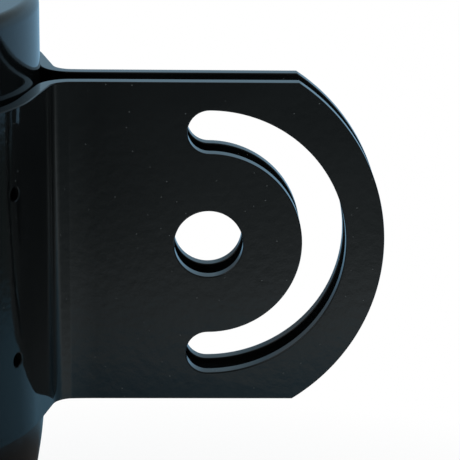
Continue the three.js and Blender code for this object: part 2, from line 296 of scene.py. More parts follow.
def edge_levels(thickness, rounding):
    """(inset, height) of each ring down a plate's rounded edge, from its top face to its bottom face."""
    half = thickness / 2
    steps = SMALL_ROUNDING_STEPS
    turns = [math.pi / 2 * i / steps for i in range(steps + 1)]
    top = [(rounding * (1 - math.sin(a)), half - rounding * (1 - math.cos(a))) for a in turns]
    return top + [(inset, -height) for inset, height in reversed(top)]


def flat_plate(outlines, thickness, rounding):
    """A plate in X and Y. An outline is a function of the inset, and any after the first is an opening."""
    bm = bmesh.new()
    cap_edges = ([], [])
    for outline in outlines:
        rings = []
        for inset, height in edge_levels(thickness, rounding):
            rings.append([bm.verts.new((x, y, height)) for x, y in outline(inset)])
        for ring_a, ring_b in zip(rings, rings[1:]):
            join_rings(bm, ring_a, ring_b)
        for ring, edges in zip((rings[0], rings[-1]), cap_edges):
            edges.extend(bm.edges.get((ring[i - 1], ring[i])) for i in range(len(ring)))
    for edges in cap_edges:
        bmesh.ops.triangle_fill(bm, use_beauty=True, edges=edges)
    face_outward(bm)
    return bm


# ------------------------------------------------------------------ clamp halves

BEND_Y = EAR_OUTER_Y + BEND_RADIUS
FLAT_REACH = HEAD_RADIUS + FLAT_CLEARANCE + SHEET
BEND_X = (FLAT_REACH + BEND_RADIUS - BEND_Y * math.sin(FLAT_ANGLE)) / math.cos(FLAT_ANGLE)
EAR_MID_Y = EAR_OUTER_Y - SHEET / 2
FOLD_REACH = BAND_RADIUS - FOLD_RADIUS
FOLD_TURN = math.acos((FLAT_REACH - FOLD_RADIUS) / FOLD_REACH)
BAND_START_ANGLE = FLAT_ANGLE + FOLD_TURN
FLAT_LENGTH = (
    BEND_X * math.sin(FLAT_ANGLE) - BEND_Y * math.cos(FLAT_ANGLE) + FOLD_REACH * math.sin(FOLD_TURN)
)

BEND_MID_RADIUS = BEND_RADIUS + SHEET / 2
FOLD_MID_RADIUS = FOLD_RADIUS - SHEET / 2
BAND_MID_RADIUS = BAND_RADIUS - SHEET / 2
BEND_TURN = FLAT_ANGLE - math.pi / 2
BAND_TURN = math.pi - 2 * BAND_START_ANGLE

# The easing takes its turn and its room from the bend, and a little length from the flat.
SHARP_TURN = BEND_TURN - EASE_TURN
BEND_REACH = -BEND_MID_RADIUS * math.tan(BEND_TURN / 2)
SHARP_REACH = -BEND_MID_RADIUS * math.tan(SHARP_TURN / 2)
EASE_TO_SHARP = EASE_LENGTH / 2 + SHARP_REACH
EAR_START_X = (
    BEND_X - BEND_REACH + EASE_TO_SHARP * math.sin(SHARP_TURN) / math.sin(BEND_TURN) + EASE_LENGTH / 2
)
FLAT_LEFT = (
    FLAT_LENGTH + BEND_REACH - SHARP_REACH - EASE_TO_SHARP * math.sin(EASE_TURN) / math.sin(BEND_TURN)
)

# The sheet from the ear to the band, the same on the way to the flange: the length of each stretch,
# how much it turns, and how many strips it is cut into.
TO_BAND = [
    (EASE_LENGTH, EASE_TURN, 10),
    (-BEND_MID_RADIUS * SHARP_TURN, SHARP_TURN, 20),
    (FLAT_LEFT, 0, 1),
    (FOLD_MID_RADIUS * FOLD_TURN, FOLD_TURN, 10),
]
BAND = (BAND_MID_RADIUS * BAND_TURN, BAND_TURN, 60)
STRETCHES = [*TO_BAND, BAND, *reversed(TO_BAND)]
FLANGE_START = -sum(length for length, turn, count in STRETCHES)


def sheet_frame(along):
    """(place of the sheet's middle, its outward normal) seen from above, on the rear half.

    along is 0 where the ear starts to turn. It is positive on the ear and falls towards the flange.
    """
    place = Vector((EAR_START_X, EAR_MID_Y))
    heading = math.pi
    left = -along
    if left <= 0:
        return place - Vector((left, 0)), Vector((0, 1))
    for length, turn, _ in STRETCHES:
        step = min(left, length)
        part = turn * step / length
        chord = step * math.sin(part / 2) / (part / 2) if part else step
        middle = heading + part / 2
        place += chord * Vector((math.cos(middle), math.sin(middle)))
        heading += part
        left -= step
        if left <= 0:
            break
    place += left * Vector((math.cos(heading), math.sin(heading)))
    return place, Vector((math.sin(heading), -math.cos(heading)))


def clamp_outline(inset):
    """The flat sheet's edge: the ear's round end and the flange's round corners."""
    end_x = EAR_TIP_X - EAR_END_RADIUS - EAR_START_X
    end_radius = EAR_END_RADIUS - inset
    end_angle = math.asin((CLAMP_HALF_HEIGHT - inset) / end_radius)
    corner_x = FLANGE_START + EAR_START_X + FLANGE_TIP_X + FLANGE_CORNER_RADIUS
    corner_y = CLAMP_HALF_HEIGHT - FLANGE_CORNER_RADIUS
    corner_radius = FLANGE_CORNER_RADIUS - inset
    points = arc(end_x, 0, end_radius, -end_angle, end_angle, EAR_POINTS)
    points += arc(corner_x, corner_y, corner_radius, math.pi / 2, math.pi, CORNER_POINTS)
    points += arc(corner_x, -corner_y, corner_radius, math.pi, 1.5 * math.pi, CORNER_POINTS)
    return points


def slot_outline(inset):
    """A half circle of even width round the pivot hole, with round ends."""
    quarter = math.pi / 2
    pivot = PIVOT_X - EAR_START_X
    half_width = SLOT_HALF_WIDTH + inset
    outer = SLOT_PATH_RADIUS + half_width
    inner = SLOT_PATH_RADIUS - half_width
    points = arc(pivot, 0, outer, -quarter, quarter, EAR_POINTS)
    points += arc(pivot, SLOT_PATH_RADIUS, half_width, quarter, 3 * quarter, SLOT_END_POINTS)[1:]
    points += arc(pivot, 0, inner, quarter, -quarter, SLOT_INNER_POINTS)[1:]
    points += arc(pivot, -SLOT_PATH_RADIUS, half_width, quarter, 3 * quarter, SLOT_END_POINTS)[1:-1]
    return points


def round_hole(along, height, radius, count):
    """A round hole's outline as a function of the inset."""
    return lambda inset: arc(along, height, radius + inset, 0, 2 * math.pi, count + 1)[:-1]


def clamp_openings():
    """The pivot hole, the slot, and the bolt and pilot holes above and below the middle."""
    before_band = sum(length for length, turn, count in TO_BAND)
    pilot_along = -before_band - (PILOT_HOLE_ANGLE - BAND_START_ANGLE) * BAND_MID_RADIUS
    bolt_along = FLANGE_START + EAR_START_X + BOLT_X
    pivot_along = PIVOT_X - EAR_START_X
    openings = [round_hole(pivot_along, 0, PIVOT_HOLE_RADIUS, PIVOT_HOLE_POINTS), slot_outline]
    for side in (1, -1):
        bolt_y = side * BOLT_HEIGHT
        pilot_y = side * PILOT_HOLE_HEIGHT
        openings.append(round_hole(bolt_along, bolt_y, BOLT_HOLE_RADIUS, BOLT_HOLE_POINTS))
        openings.append(round_hole(pilot_along, pilot_y, PILOT_HOLE_RADIUS, PILOT_HOLE_POINTS))
    return openings


def cut_where_it_bends(bm):
    """Cuts the flat sheet across in narrow strips, so that each strip can turn a little."""
    stations = [0]
    for length, _, count in STRETCHES:
        start = stations[-1]
        stations += [start - length * i / count for i in range(1, count + 1)]
    for along in stations:
        everything = bm.verts[:] + bm.edges[:] + bm.faces[:]
        cut = {"plane_co": (along, 0, 0), "plane_no": (1, 0, 0), "dist": SHEET_CUT_TOLERANCE}
        bmesh.ops.bisect_plane(bm, geom=everything, **cut)


def clamp_half(node, side, material):
    """One clamp half, cut flat and then bent. side is 1 for the rear half and -1 for the front half."""
    bm = flat_plate([clamp_outline, *clamp_openings()], SHEET, SHEET_EDGE_ROUND)
    cut_where_it_bends(bm)
    turn_over = Matrix.Diagonal((1, side, side))
    normals = []
    for vertex, flat_normal in zip(bm.verts, area_weighted_normals(bm)):
        middle, out = sheet_frame(vertex.co.x)
        place = middle + out * vertex.co.z
        lean = Vector((out.y, -out.x)) * flat_normal.x + out * flat_normal.z
        normals.append(turn_over @ Vector((*lean, flat_normal.y)))
        vertex.co = turn_over @ Vector((*place, vertex.co.y)) + Vector((0, 0, PIVOT_Z))
    return stand_in(node, bm, material, normals)


# ------------------------------------------------------------------ head, cone and point


def head(material):
    """The driving head: a cup with a closed top, a round shoulder and an open mouth below."""
    inner = HEAD_RADIUS - HEAD_WALL
    under_top = head_high.z - HEAD_TOP_THICKNESS
    loop = rounded_loop([
        (0, under_top, 0),
        (inner, under_top, EDGE_ROUND),
        (inner, head_low.z, EDGE_ROUND),
        (HEAD_RADIUS, head_low.z, EDGE_ROUND),
        (HEAD_RADIUS, head_high.z, HEAD_SHOULDER_RADIUS),
        (0, head_high.z, 0),
    ], HEAD_ROUNDING_STEPS)
    return stand_in("head_shell", lathe(loop), material)


def cone_radius(z):
    """The cone's outer radius at a height."""
    return HEAD_RADIUS - CONE_TAPER * (CONE_START_Z - z)


def cone(material):
    """The tapered shell, with the straight neck that meets the head."""
    inner = HEAD_RADIUS - HEAD_WALL
    end_radius = cone_radius(CONE_END_Z)
    loop = rounded_loop([
        (end_radius - CONE_WALL, CONE_END_Z, EDGE_ROUND),
        (end_radius, CONE_END_Z, EDGE_ROUND),
        (HEAD_RADIUS, CONE_START_Z, CONE_SHOULDER_RADIUS),
        (HEAD_RADIUS, cone_high.z, EDGE_ROUND),
        (inner, cone_high.z, EDGE_ROUND),
        (inner, CONE_START_Z, CONE_SHOULDER_RADIUS - HEAD_WALL),
    ], CONE_ROUNDING_STEPS)
    return stand_in("spike_cone", lathe(loop), material)


def point(material):
    """The solid forged tip, with the spigot that sits inside the cone's lower end."""
    shoulder_z = CONE_END_Z - SEAM_GAP
    shoulder_radius = cone_radius(CONE_END_Z)
    spigot_radius = shoulder_radius - CONE_WALL - SEAM_GAP
    loop = rounded_loop([
        (0, point_low.z, 0),
        (POINT_TIP_RADIUS, point_low.z + POINT_TIP_RADIUS / 2, POINT_TIP_RADIUS / 2),
        (shoulder_radius, shoulder_z - POINT_SHOULDER_DEPTH, EDGE_ROUND),
        (shoulder_radius, shoulder_z, EDGE_ROUND),
        (spigot_radius, shoulder_z, EDGE_ROUND),
        (spigot_radius, shoulder_z + POINT_SPIGOT_LENGTH, EDGE_ROUND),
        (0, shoulder_z + POINT_SPIGOT_LENGTH, 0),
    ])
    return stand_in("spike_point", lathe(loop, POINT_SEGMENTS), material)


# ------------------------------------------------------------------ fins


def rounded_polygon(corners, rounding):
    """An outline function for a convex polygon, anticlockwise, with round corners."""
    centres = []
    for i, corner in enumerate(corners):
        here = Vector(corner)
        before = (here - Vector(corners[i - 1])).normalized()
        after = (Vector(corners[(i + 1) % len(corners)]) - here).normalized()
        inward = after - before
        half_angle = (-before).angle(after) / 2
        centre = here + inward.normalized() * rounding / math.sin(half_angle)
        start = math.atan2(-before.x, before.y)
        turn = before.angle_signed(after)
        centres.append((centre, start, turn))

    def outline(inset):
        points = []
        for centre, start, turn in centres:
            end = start - turn
            points += arc(centre.x, centre.y, rounding - inset, start, end, ROUNDING_STEPS + 1)
        return points

    return outline


def fin(node, degrees, material):
    """A blade with rolled edges that stands out from the cone. Its root is fused into the cone."""
    outline = rounded_polygon([
        (cone_radius(FIN_TOP_Z) - FIN_ROOT_DEPTH, FIN_TOP_Z),
        (cone_radius(FIN_BOTTOM_Z) - FIN_ROOT_DEPTH, FIN_BOTTOM_Z),
        (cone_radius(FIN_BOTTOM_Z) + FIN_TOE_WIDTH, FIN_BOTTOM_Z),
        (FIN_OUTER_RADIUS, FIN_OUTER_BOTTOM_Z),
        (FIN_OUTER_RADIUS, FIN_OUTER_TOP_Z),
    ], FIN_CORNER_ROUND)
    bm = flat_plate([outline], FIN_THICKNESS, FIN_EDGE_ROUND)
    upright = Matrix.Rotation(math.radians(degrees), 3, "Z") @ Matrix.Rotation(math.pi / 2, 3, "X")
    bmesh.ops.rotate(bm, verts=bm.verts, matrix=upright)
    return stand_in(node, bm, material)


# ------------------------------------------------------------------ welds


def ripple(distance):
    """A weld bead's radius: each deposit is full where it was laid and falls away behind."""
    phase = (distance / WELD_RIPPLE_LENGTH) % 1
    return WELD_RADIUS * (1 - WELD_RIPPLE_DEPTH * phase**2)


def weld_ring(bm, centre, along, out, radius):
    """One ring of a bead, across its path."""
    side = along.cross(out).normalized()
    turns = [2 * math.pi * i / WELD_SIDES for i in range(WELD_SIDES)]
    return [bm.verts.new(centre + (out * math.cos(a) + side * math.sin(a)) * radius) for a in turns]


def straight_bead(bm, start, end, out):
    """A bead between two points, with domed ends."""
    along = (end - start).normalized()
    length = (end - start).length
    steps = round(length / WELD_RIPPLE_LENGTH * WELD_RINGS_PER_RIPPLE)
    rings = []
    for step in range(1, steps):
        distance = length * step / steps
        from_end = min(distance, length - distance) / WELD_RADIUS
        dome = math.sqrt(1 - max(0, 1 - from_end) ** 2)
        rings.append(weld_ring(bm, start + along * distance, along, out, ripple(distance) * dome))
    for ring_a, ring_b in zip(rings, rings[1:]):
        join_rings(bm, ring_a, ring_b)
    fan(bm, bm.verts.new(start), rings[0])
    fan(bm, bm.verts.new(end), rings[-1])


def fin_stitches(node, degrees, material):
    """Stitch welds down both sides of a fin's root."""
    bm = bmesh.new()
    turn = Matrix.Rotation(math.radians(degrees), 3, "Z")
    span = FIN_TOP_Z - FIN_BOTTOM_Z - STITCH_LENGTH
    for stitch in range(STITCH_COUNT):
        top_z = FIN_TOP_Z - span * stitch / (STITCH_COUNT - 1)
        bottom_z = top_z - STITCH_LENGTH
        for side in (1, -1):
            y = side * FIN_THICKNESS / 2
            start = turn @ Vector((math.sqrt(cone_radius(top_z) ** 2 - y**2), y, top_z))
            end = turn @ Vector((math.sqrt(cone_radius(bottom_z) ** 2 - y**2), y, bottom_z))
            straight_bead(bm, start, end, turn @ Vector((1, 0, 0)))
    return make_piece(node + "_welds", bm, BODY_OF[node], material)


def point_weld(material):
    """The bead round the seam between the cone and the point."""
    bm = bmesh.new()
    seam_radius = cone_radius(CONE_END_Z) - WELD_RADIUS * WELD_SUNK_SHARE
    length = 2 * math.pi * seam_radius
    steps = round(length / WELD_RIPPLE_LENGTH) * WELD_RINGS_PER_RIPPLE
    rings = []
    for step in range(steps):
        angle = 2 * math.pi * step / steps
        out = Vector((math.cos(angle), math.sin(angle), 0))
        along = Vector((-out.y, out.x, 0))
        centre = out * seam_radius + Vector((0, 0, CONE_END_Z - SEAM_GAP / 2))
        distance = step / WELD_RINGS_PER_RIPPLE * WELD_RIPPLE_LENGTH
        rings.append(weld_ring(bm, centre, along, out, ripple(distance)))
    for ring_a, ring_b in zip(rings, rings[1:] + rings[:1]):
        join_rings(bm, ring_a, ring_b)
    return make_piece("point_weld", bm, BODY_OF["spike_point"], material)


# ------------------------------------------------------------------ clamp fasteners


def hex_outline():
    """A regular hexagon with slightly rounded corners, its flats cut into short lengths."""
    corner_radius = HEX_FLAT_RADIUS / math.cos(math.pi / 6)
    corners = []
    for i in range(6):
        angle = math.pi / 3 * i
        x = corner_radius * math.cos(angle)
        y = corner_radius * math.sin(angle)
        corners.append((x, y, HEX_CORNER_ROUND))
    loop = [Vector(spot) for spot in rounded_loop(corners, SMALL_ROUNDING_STEPS)]
    outline = []
    for start, end in zip(loop, loop[1:] + loop[:1]):
        outline.append(start)
        if (end - start).length > HEX_FLAT_RADIUS / 2:
            outline += [start.lerp(end, cut / HEX_FLAT_CUTS) for cut in range(1, HEX_FLAT_CUTS)]
    return outline


def hex_rings(bm, height, face_z, direction):
    """A hexagon's chamfered end: the ring round its face, and the ring where the flats begin."""
    face_radius = HEX_FLAT_RADIUS * HEX_FACE_SHARE
    face_ring = []
    flat_ring = []
    for spot in hex_outline():
        face_spot = spot.normalized() * face_radius
        drop = (spot.length - face_radius) * HEX_CHAMFER_SLOPE
        face_ring.append(bm.verts.new((*face_spot, face_z)))
        flat_ring.append(bm.verts.new((*spot, face_z - direction * min(drop, height / 2))))
    join_rings(bm, face_ring, flat_ring)
    return face_ring, flat_ring


def soften(bm):
    """Gives every hard edge a narrow round."""
    face_outward(bm)
    hard = [edge for edge in bm.edges if edge.calc_face_angle(0) > HARD_EDGE_ANGLE]
    bmesh.ops.bevel(bm, geom=hard, offset=HARD_EDGE_ROUND, segments=2, profile=0.5, affect="EDGES")


def thread_radius(angle, distance, length):
    """The bolt's radius: a helical ridge that fades out at the chamfered end."""
    phase = (distance / THREAD_PITCH - angle / (2 * math.pi)) % 1
    flank = (1 - THREAD_FLAT_SHARE - abs(2 * phase - 1)) / (1 - 2 * THREAD_FLAT_SHARE)
    groove = min(1, max(0, flank))
    chamfered = THREAD_RADIUS - THREAD_DEPTH + (length - distance)
    return min(THREAD_RADIUS - THREAD_DEPTH * groove, chamfered)


def threaded_shank(bm, length):
    """A threaded rod along -Z that starts inside the bolt's head."""
    rows = round((length + SHANK_ROOT) / THREAD_PITCH * THREAD_ROWS_PER_TURN)
    rings = []
    for row in range(rows + 1):
        distance = (length + SHANK_ROOT) * row / rows - SHANK_ROOT
        ring = []
        for i in range(THREAD_SIDES):
            angle = 2 * math.pi * i / THREAD_SIDES
            radius = thread_radius(angle, distance, length)
            ring.append(bm.verts.new((radius * math.cos(angle), radius * math.sin(angle), -distance)))
        rings.append(ring)
    for ring_a, ring_b in zip(rings, rings[1:]):
        join_rings(bm, ring_a, ring_b)
    fan(bm, bm.verts.new((0, 0, SHANK_ROOT)), rings[0])
    fan(bm, bm.verts.new((0, 0, -length)), rings[-1])


def seat(bm, near_y, height, facing):
    """Moves a mesh made along +Z to a clamp bolt's axis, facing rearward (1) or frontward (-1)."""
    place = Matrix.Translation((BOLT_X, near_y, PIVOT_Z + height))
    turn = Matrix.Rotation(-facing * math.pi / 2, 4, "X")
    bmesh.ops.transform(bm, matrix=place @ turn, verts=bm.verts)
    return bm


def bolt(node, height, material):
    """A hexagon bolt with its head on the rear side."""
    bm = bmesh.new()
    face_ring, flat_ring = hex_rings(bm, BOLT_HEAD_HEIGHT, BOLT_HEAD_HEIGHT, 1)
    seat_ring = [bm.verts.new((*spot, 0)) for spot in hex_outline()]
    join_rings(bm, flat_ring, seat_ring)
    fan(bm, bm.verts.new((0, 0, BOLT_HEAD_HEIGHT)), face_ring)
    fan(bm, bm.verts.new((0, 0, 0)), seat_ring)
    soften(bm)
    threaded_shank(bm, bolt_high.y - BOLT_HEAD_HEIGHT - bolt_low.y)
    seat(bm, bolt_high.y - BOLT_HEAD_HEIGHT, height, 1)
    return stand_in(node, bm, material)


def nut(node, height, material):
    """A hexagon nut, chamfered at both ends and at the mouth of its bore."""
    bm = bmesh.new()
    nut_height = nut_high.y - nut_low.y
    near_face, near_flat = hex_rings(bm, nut_height, 0, -1)
    far_face, far_flat = hex_rings(bm, nut_height, nut_height, 1)
    join_rings(bm, near_flat, far_flat)
    countersink = NUT_BORE_RADIUS + EDGE_ROUND
    levels = [(countersink, 0), (NUT_BORE_RADIUS, EDGE_ROUND)]
    levels += [(NUT_BORE_RADIUS, nut_height - EDGE_ROUND), (countersink, nut_height)]
    rings = [near_face]
    for radius, z in levels:
        rings.append([bm.verts.new((*(spot.normalized() * radius), z)) for spot in hex_outline()])
    rings.append(far_face)
    for ring_a, ring_b in zip(rings, rings[1:]):
        join_rings(bm, ring_a, ring_b)
    soften(bm)
    seat(bm, nut_high.y, height, -1)
    return stand_in(node, bm, material)


def washer(node, height, facing, material):
    """A plain washer with rolled edges."""
    thickness = washer_high.y - washer_low.y
    loop = rounded_loop([
        (WASHER_BORE_RADIUS, 0, WASHER_EDGE_ROUND),
        (WASHER_RADIUS, 0, WASHER_EDGE_ROUND),
        (WASHER_RADIUS, thickness, WASHER_EDGE_ROUND),
        (WASHER_BORE_RADIUS, thickness, WASHER_EDGE_ROUND),
    ], SMALL_ROUNDING_STEPS)
    bm = seat(lathe(loop, WASHER_SEGMENTS), facing * washer_low.y, height, facing)
    return stand_in(node, bm, material)


def spring_washer(node, height, material):
    """A ring with one narrow split."""

    def outline(inset):
        half_split = SPRING_WASHER_SPLIT / 2
        outer = SPRING_WASHER_RADIUS - inset
        inner = WASHER_BORE_RADIUS + inset
        outer_start = half_split + inset / outer
        inner_start = half_split + inset / inner
        points = arc(0, 0, outer, outer_start, 2 * math.pi - outer_start, SPLIT_RING_POINTS)
        return points + arc(0, 0, inner, 2 * math.pi - inner_start, inner_start, SPLIT_RING_POINTS)

    thickness = spring_high.y - spring_low.y
    bm = flat_plate([outline], thickness, WASHER_EDGE_ROUND)
    bmesh.ops.translate(bm, verts=bm.verts, vec=(0, 0, thickness / 2))
    seat(bm, spring_high.y, height, -1)
    return stand_in(node, bm, material)


# ------------------------------------------------------------------ node helpers

# A mix node has sockets for each kind of data. These are its colour sockets.
MIX_COLOUR_A = 6
MIX_COLOUR_B = 7
MIX_COLOUR_RESULT = 2


class Graph:
    """Adds nodes to one node tree. An input is a number, a colour or another node's output."""

    def __init__(self, tree):
        self.tree = tree
        tree.nodes.clear()

    def add(self, kind, settings=None, **inputs):
        """A node with its settings, and its inputs by name, with _ for a space."""
        node = self.tree.nodes.new(kind)
        for name, value in (settings or {}).items():
            setattr(node, name, value)
        for name, value in inputs.items():
            self.feed(node.inputs[name.replace("_", " ")], value)
        return node

    def feed(self, socket, value):
        """Links an output to a socket, or sets the socket's own value."""
        if isinstance(value, bpy.types.NodeSocket):
            self.tree.links.new(value, socket)
        else:
            socket.default_value = value

    def math(self, operation, first, second=0.0):
        """A math node's result."""
        node = self.add("ShaderNodeMath", {"operation": operation})
        self.feed(node.inputs[0], first)
        self.feed(node.inputs[1], second)
        return node.outputs[0]

    def mix(self, share, first, second):
        """A colour mix: first at share 0, second at share 1."""
        node = self.add("ShaderNodeMix", {"data_type": "RGBA"})
        self.feed(node.inputs["Factor"], share)
        self.feed(node.inputs[MIX_COLOUR_A], first)
        self.feed(node.inputs[MIX_COLOUR_B], second)
        return node.outputs[MIX_COLOUR_RESULT]

    def ramp(self, share, stops):
        """A colour ramp through (position, colour) stops."""
        node = self.add("ShaderNodeValToRGB", Fac=share)
        ramp = node.color_ramp
        while len(ramp.elements) < len(stops):
            ramp.elements.new(0.5)
        for element, (position, colour) in zip(ramp.elements, stops):
            element.position = position
            element.color = (*colour, 1)
        return node.outputs["Color"]

    def spread(self, value, limits, new_limits=(0, 1)):
        """A value moved from one range to another, and kept inside it."""
        node = self.add("ShaderNodeMapRange", Value=value)
        ends = (*limits, *new_limits)
        for name, end in zip(("From Min", "From Max", "To Min", "To Max"), ends):
            node.inputs[name].default_value = end
        return node.outputs["Result"]

    def noise(self, place, size, detail=2.0):
        """Smooth noise whose features are about one size across."""
        node = self.add("ShaderNodeTexNoise", Vector=place, Scale=1 / size, Detail=detail)
        return node.outputs["Fac"]

    def bump(self, height, strength, depth):
        """A surface normal that is tilted by a height between 0 and 1, for a relief of one depth."""
        node = self.add("ShaderNodeBump", Strength=strength, Distance=depth, Height=height)
        return node.outputs["Normal"]


def new_material(slot):
    """(material, graph, place of the shaded point in the piece's own frame)."""
    material = bpy.data.materials.new(slot)
    material["slot"] = slot
    material.use_nodes = True
    graph = Graph(material.node_tree)
    place = graph.add("ShaderNodeTexCoord").outputs["Object"]
    return material, graph, place


def close_material(graph, **inputs):
    """Ends a material's graph with its surface."""
    surface = graph.add("ShaderNodeBsdfPrincipled", **inputs)
    graph.add("ShaderNodeOutputMaterial", Surface=surface.outputs["BSDF"])


# ------------------------------------------------------------------ materials

NOISE_RANGE = (0.3, 0.7)              # where nearly all of a noise texture's values lie

DUST_SPACING = 2.6 * MM
DUST_RADIUS = 0.055                   # of the spacing
DUST_COLOUR = (0.09, 0.1, 0.1, 1)
DUST_ROUGHNESS = 0.7
DUST_RELIEF = 0.4

PAINT_DRIFT_SIZE = 26 * MM
PAINT_SHADE = 0.7                     # of the full colour, in the darkest patches
PAINT_HAZE_SIZE = 9 * MM
PAINT_HAZE_DETAIL = 4
PAINT_GLOSS_SHARES = (0.85, 1.2)      # of the paint's roughness
PAINT_RIPPLE_SIZE = 2.4 * MM
PAINT_RIPPLE_DETAIL = 3
PAINT_GRAIN_SIZE = 0.35 * MM
PAINT_GRAIN_DETAIL = 1
PAINT_GRAIN_RELIEF = 0.1
PAINT_DEPTH = 0.1 * MM
PAINT_IOR = 1.5

ZINC_PATCH_SIZE = 4 * MM
ZINC_PATCH_DETAIL = 5
ZINC_TONES = [(0.35, (0.42, 0.43, 0.43)), (0.6, (0.63, 0.64, 0.62))]
ZINC_GLOSS_SIZE = 1.5 * MM
ZINC_GLOSS_DETAIL = 4
ZINC_ROUGHNESS = (0.24, 0.42)
ZINC_GRAIN_SIZE = 0.4 * MM
ZINC_GRAIN_DETAIL = 4
ZINC_GRAIN_STRENGTH = 0.35
ZINC_GRAIN_DEPTH = 0.05 * MM

STREAK_STRETCH = (1, 1, 0.08)
STREAK_SIZE = 1.2 * MM
STREAK_DETAIL = 5
STREAK_COLOUR = (0.14, 0.14, 0.15, 1)
SCALE_SIZE = 8 * MM
SCALE_DETAIL = 4
SCALE_TONES = [(0.4, (0.2, 0.2, 0.21)), (0.62, (0.32, 0.31, 0.3))]
STEEL_ROUGHNESS = (0.38, 0.6)
STEEL_STREAK_STRENGTH = 0.4
STEEL_STREAK_DEPTH = 0.1 * MM
STEEL_METALLIC = 0.9


def dust(graph, place):
    """1 on a few tiny specks scattered over the surface, and 0 elsewhere."""
    cells = graph.add("ShaderNodeTexVoronoi", Vector=place, Scale=1 / DUST_SPACING)
    return graph.math("LESS_THAN", cells.outputs["Distance"], DUST_RADIUS)


def gloss_paint(slot, colour, roughness, peel):
    """Sprayed gloss paint: orange peel, a slightly uneven gloss and a few specks of dust."""
    material, graph, place = new_material(slot)
    speck = dust(graph, place)
    drift = graph.noise(place, PAINT_DRIFT_SIZE)
    shade = tuple(channel * PAINT_SHADE for channel in colour)
    tone = graph.ramp(drift, list(zip(NOISE_RANGE, (shade, colour))))
    dusty = graph.mix(speck, tone, DUST_COLOUR)
    patches = graph.noise(place, PAINT_HAZE_SIZE, PAINT_HAZE_DETAIL)
    haze = graph.spread(patches, NOISE_RANGE, [roughness * share for share in PAINT_GLOSS_SHARES])
    gloss = graph.math("MAXIMUM", haze, graph.math("MULTIPLY", speck, DUST_ROUGHNESS))
    ripples = graph.noise(place, PAINT_RIPPLE_SIZE, PAINT_RIPPLE_DETAIL)
    grain = graph.noise(place, PAINT_GRAIN_SIZE, PAINT_GRAIN_DETAIL)
    relief = graph.math("ADD", ripples, graph.math("MULTIPLY", grain, PAINT_GRAIN_RELIEF))
    relief = graph.math("ADD", relief, graph.math("MULTIPLY", speck, DUST_RELIEF))
    normal = graph.bump(relief, peel, PAINT_DEPTH)
    close_material(graph, Base_Color=dusty, Roughness=gloss, IOR=PAINT_IOR, Normal=normal)
    return material


def zinc_plate():
    """Bright zinc plating: fine metal grain with patches of duller passivation."""
    material, graph, place = new_material("zinc_plate")
    patches = graph.noise(place, ZINC_PATCH_SIZE, ZINC_PATCH_DETAIL)
    colour = graph.ramp(patches, ZINC_TONES)
    haze = graph.noise(place, ZINC_GLOSS_SIZE, ZINC_GLOSS_DETAIL)
    gloss = graph.spread(haze, NOISE_RANGE, ZINC_ROUGHNESS)
    grain = graph.noise(place, ZINC_GRAIN_SIZE, ZINC_GRAIN_DETAIL)
    normal = graph.bump(grain, ZINC_GRAIN_STRENGTH, ZINC_GRAIN_DEPTH)
    close_material(graph, Base_Color=colour, Metallic=1.0, Roughness=gloss, Normal=normal)
    return material


def bare_steel():
    """Plain drawn tube: grey mill scale with faint streaks along its length."""
    material, graph, place = new_material("bare_steel")
    stretched = graph.add("ShaderNodeMapping", Vector=place, Scale=STREAK_STRETCH)
    streaks = graph.noise(stretched.outputs["Vector"], STREAK_SIZE, STREAK_DETAIL)
    scale = graph.ramp(graph.noise(place, SCALE_SIZE, SCALE_DETAIL), SCALE_TONES)
    colour = graph.mix(streaks, STREAK_COLOUR, scale)
    gloss = graph.spread(streaks, NOISE_RANGE, STEEL_ROUGHNESS)
    normal = graph.bump(streaks, STEEL_STREAK_STRENGTH, STEEL_STREAK_DEPTH)
    close_material(graph, Base_Color=colour, Metallic=STEEL_METALLIC, Roughness=gloss, Normal=normal)
    return material


# ------------------------------------------------------------------ studio

FLOOR_RADIUS = 11.0
FLOOR_SEGMENTS = 96
SHADOW_REACH = 0.75
SHADOW_FADE = (SHADOW_REACH / 4, SHADOW_REACH)
FLOOR_GRAIN_SIZE = 3 * MM
FLOOR_GRAIN_DETAIL = 3
FLOOR_TONES = ((0.8, 0.8, 0.8), (0.84, 0.84, 0.84))
WHITE = (1, 1, 1, 1)
BLACK = (0, 0, 0, 1)

# What the paint reflects: (degrees above the horizon, colour), from straight down to straight up.
LOW_DOWN = [
    (-60, (0.3, 0.31, 0.31)),
    (-46, (0.05, 0.042, 0.036)),
    (-25.5, (0.055, 0.05, 0.045)),
    (-23.5, (0.12, 0.25, 0.35)),
]
BEHIND = [
    *LOW_DOWN,
    (-13, (0.28, 0.51, 0.72)),
    (14, (0.36, 0.57, 0.73)),
    (28, (0.3, 0.4, 0.45)),
    (50, (0.1, 0.12, 0.13)),
    (80, (0.2, 0.22, 0.23)),
]
BESIDE = [
    *LOW_DOWN,
    (-20.5, (0.12, 0.26, 0.36)),
    (-19.2, (0.06, 0.08, 0.08)),
    (-15.2, (0.05, 0.07, 0.07)),
    (-14.2, (0.22, 0.42, 0.6)),
    (14, (0.3, 0.45, 0.6)),
    (50, (0.1, 0.12, 0.13)),
    (80, (0.2, 0.22, 0.23)),
]
AHEAD = [
    (-60, (0.34, 0.36, 0.37)),
    (-32, (0.18, 0.28, 0.34)),
    (-25, (0.14, 0.28, 0.38)),
    (-22.2, (0.25, 0.42, 0.53)),
    (-20.8, (0.5, 0.61, 0.65)),
    (-19.6, (0.46, 0.52, 0.54)),
    (-18.2, (0.29, 0.34, 0.35)),
    (-16.5, (0.2, 0.24, 0.25)),
    (-14, (0.12, 0.15, 0.16)),
    (5, (0.08, 0.09, 0.09)),
    (80, (0.2, 0.22, 0.23)),
]
